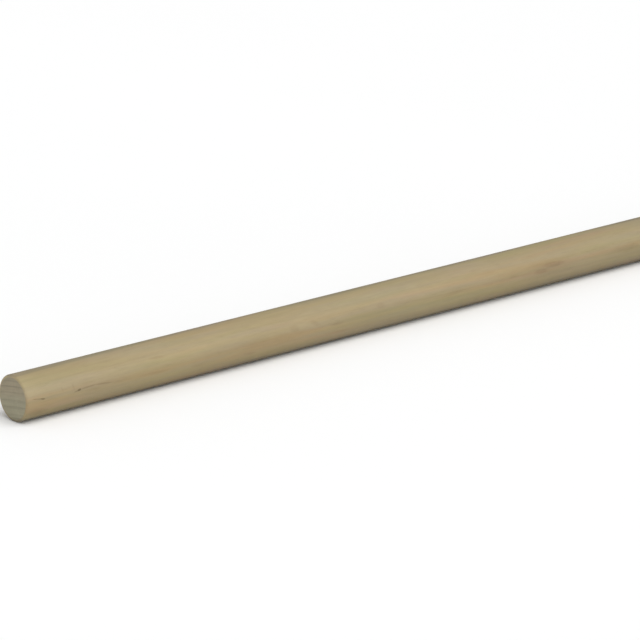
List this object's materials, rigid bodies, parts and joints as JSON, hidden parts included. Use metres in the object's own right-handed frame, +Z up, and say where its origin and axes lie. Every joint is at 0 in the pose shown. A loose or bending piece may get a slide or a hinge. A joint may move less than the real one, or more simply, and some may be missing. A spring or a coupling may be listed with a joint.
{
  "type": "dowel rod",
  "caption": "Plain round hardwood dowel rod, a length of bare sanded wood with flat sawn ends and lightly rounded end edges.",
  "frame": {"origin": "centre of the rod, on its centre line at the middle of its length", "axes": "+X along the rod from the near end to the far end, +Y across it, +Z up"},
  "size_m": [0.9144, 0.019, 0.019],
  "materials": {
    "wood": "bare sanded pale hardwood with a faint greenish grey cast, no varnish"
  },
  "bodies": {
    "root": {"dowel_rod": "wood"}
  },
  "joints": []
}
